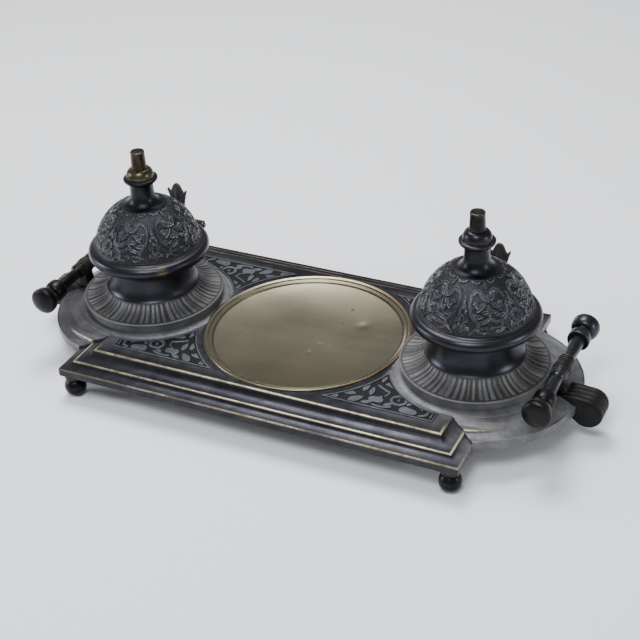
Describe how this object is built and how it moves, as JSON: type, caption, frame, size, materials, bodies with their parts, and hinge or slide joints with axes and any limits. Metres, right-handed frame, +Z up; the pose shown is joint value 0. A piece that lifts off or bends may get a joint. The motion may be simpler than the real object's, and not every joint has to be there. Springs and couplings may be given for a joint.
{
  "type": "double inkwell desk stand",
  "caption": "Cast desk stand with domed hinged-lid inkwells, a shallow brass dish between them and turned pen bars at the ends.",
  "frame": {"origin": "centre of the stand, on the table between the four feet", "axes": "+X along the stand to the viewer's right, +Y to the back where the hinges are, +Z up"},
  "size_m": [0.363, 0.162, 0.1279],
  "materials": {
    "dark_bronze": "patinated bronze, nearly black, soft sheen, worn to brass on the edges",
    "grey_bronze": "patinated bronze, greyer and more matt, bright edges",
    "dish_brass": "aged yellow brass, satin, spotted",
    "worn_brass": "brown brass where the patina has been rubbed off",
    "plain_steel": "plain steel",
    "glazed_pot": "cream glaze"
  },
  "bodies": {
    "stand": {"stand_base": "grey_bronze", "dish": "dish_brass", "dish_stud": "dish_brass", "dish_washer": "plain_steel", "dish_nut": "plain_steel", "foot_studs": "plain_steel", "foot_front_left": "dark_bronze", "foot_front_right": "dark_bronze", "foot_rear_left": "dark_bronze", "foot_rear_right": "dark_bronze", "left_well": "grey_bronze", "left_well_screws": "plain_steel", "left_hinge_leaf": "dark_bronze", "left_leaf_rivets": "dark_bronze", "left_hinge_pin": "worn_brass", "left_scroll": "dark_bronze", "left_scroll_screw": "plain_steel", "left_bar_front": "dark_bronze", "left_bar_rear": "dark_bronze", "left_front_knob": "dark_bronze", "left_rear_knob": "dark_bronze", "right_well": "grey_bronze", "right_well_screws": "plain_steel", "right_hinge_leaf": "dark_bronze", "right_leaf_rivets": "dark_bronze", "right_hinge_pin": "worn_brass", "right_scroll": "dark_bronze", "right_scroll_screw": "plain_steel", "right_bar_front": "dark_bronze", "right_bar_rear": "dark_bronze", "right_front_knob": "dark_bronze", "right_rear_knob": "dark_bronze"},
    "left_lid": {"left_lid": "dark_bronze", "left_lid_crest": "dark_bronze", "left_crest_rivets": "worn_brass", "left_lid_neck": "dark_bronze", "left_lid_knob": "dark_bronze", "left_lid_peg": "worn_brass", "left_lid_nut": "plain_steel"},
    "left_liner": {"left_liner": "glazed_pot"},
    "right_lid": {"right_lid": "dark_bronze", "right_lid_crest": "dark_bronze", "right_crest_rivets": "worn_brass", "right_lid_neck": "dark_bronze", "right_lid_knob": "dark_bronze", "right_lid_peg": "worn_brass", "right_lid_nut": "plain_steel"},
    "right_liner": {"right_liner": "glazed_pot"}
  },
  "joints": [
    {"name": "left_lid_hinge", "type": "hinge", "parent": "stand", "child": "left_lid", "pos_m": [-0.1052, 0.0393, 0.061], "axis": [-1, 0, 0], "range_deg": [0, 100]},
    {"name": "left_liner_lift", "type": "slide", "parent": "stand", "child": "left_liner", "axis": [0, 0, 1], "range_m": [0, 0.012]},
    {"name": "right_lid_hinge", "type": "hinge", "parent": "stand", "child": "right_lid", "pos_m": [0.1052, 0.0393, 0.061], "axis": [-1, 0, 0], "range_deg": [0, 100]},
    {"name": "right_liner_lift", "type": "slide", "parent": "stand", "child": "right_liner", "axis": [0, 0, 1], "range_m": [0, 0.012]}
  ]
}
